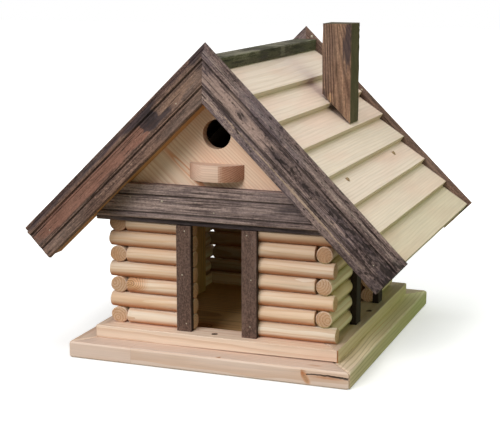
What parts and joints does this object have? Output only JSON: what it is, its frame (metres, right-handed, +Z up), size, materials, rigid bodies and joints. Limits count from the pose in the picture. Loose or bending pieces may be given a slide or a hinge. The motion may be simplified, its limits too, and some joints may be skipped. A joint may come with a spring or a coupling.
{
  "type": "log cabin bird feeder",
  "caption": "Free-standing wooden bird feeder built as a small log cabin with doorways, a nesting loft, a lapped board roof and a chimney block.",
  "frame": {"origin": "on the ground under the middle of the base", "axes": "+Z up, front gable with the entrance hole towards -Y, +X to the right of the front, chimney on the +X slope"},
  "size_m": [0.4702, 0.386, 0.3911],
  "materials": {
    "pine_base": "planed bare pine",
    "pine_logs": "smooth turned pine dowel",
    "pine_panel": "planed bare pine",
    "roof_pine": "planed pale pine",
    "dark_trim": "dark stained and weathered"
  },
  "bodies": {
    "root": {"lower_front_board": "pine_base", "lower_back_board": "pine_base", "lower_left_board": "pine_base", "lower_right_board": "pine_base", "floor_panel": "pine_panel", "upper_front_board": "pine_base", "upper_back_board": "pine_base", "upper_left_board": "pine_base", "upper_right_board": "pine_base", "front_logs_left": "pine_logs", "front_logs_right": "pine_logs", "back_logs": "pine_logs", "left_logs_front": "pine_logs", "left_logs_back": "pine_logs", "left_plate_logs": "pine_logs", "right_logs_front": "pine_logs", "right_logs_back": "pine_logs", "right_plate_logs": "pine_logs", "front_post_left": "dark_trim", "front_post_right": "dark_trim", "left_post_front": "dark_trim", "left_post_back": "dark_trim", "right_post_front": "dark_trim", "right_post_back": "dark_trim", "left_inner_battens": "pine_panel", "right_inner_battens": "pine_panel", "loft_floor": "pine_panel", "front_gable": "pine_panel", "back_gable": "pine_panel", "perch": "pine_panel", "front_lintel": "dark_trim", "back_lintel": "dark_trim", "front_rafter_left": "pine_panel", "front_rafter_right": "pine_panel", "back_rafter_left": "pine_panel", "back_rafter_right": "pine_panel", "left_roof_boards": "roof_pine", "right_roof_boards": "roof_pine", "front_bargeboard_left": "dark_trim", "front_bargeboard_right": "dark_trim", "back_bargeboard_left": "dark_trim", "back_bargeboard_right": "dark_trim", "ridge_batten": "dark_trim", "chimney": "dark_trim"}
  },
  "joints": []
}
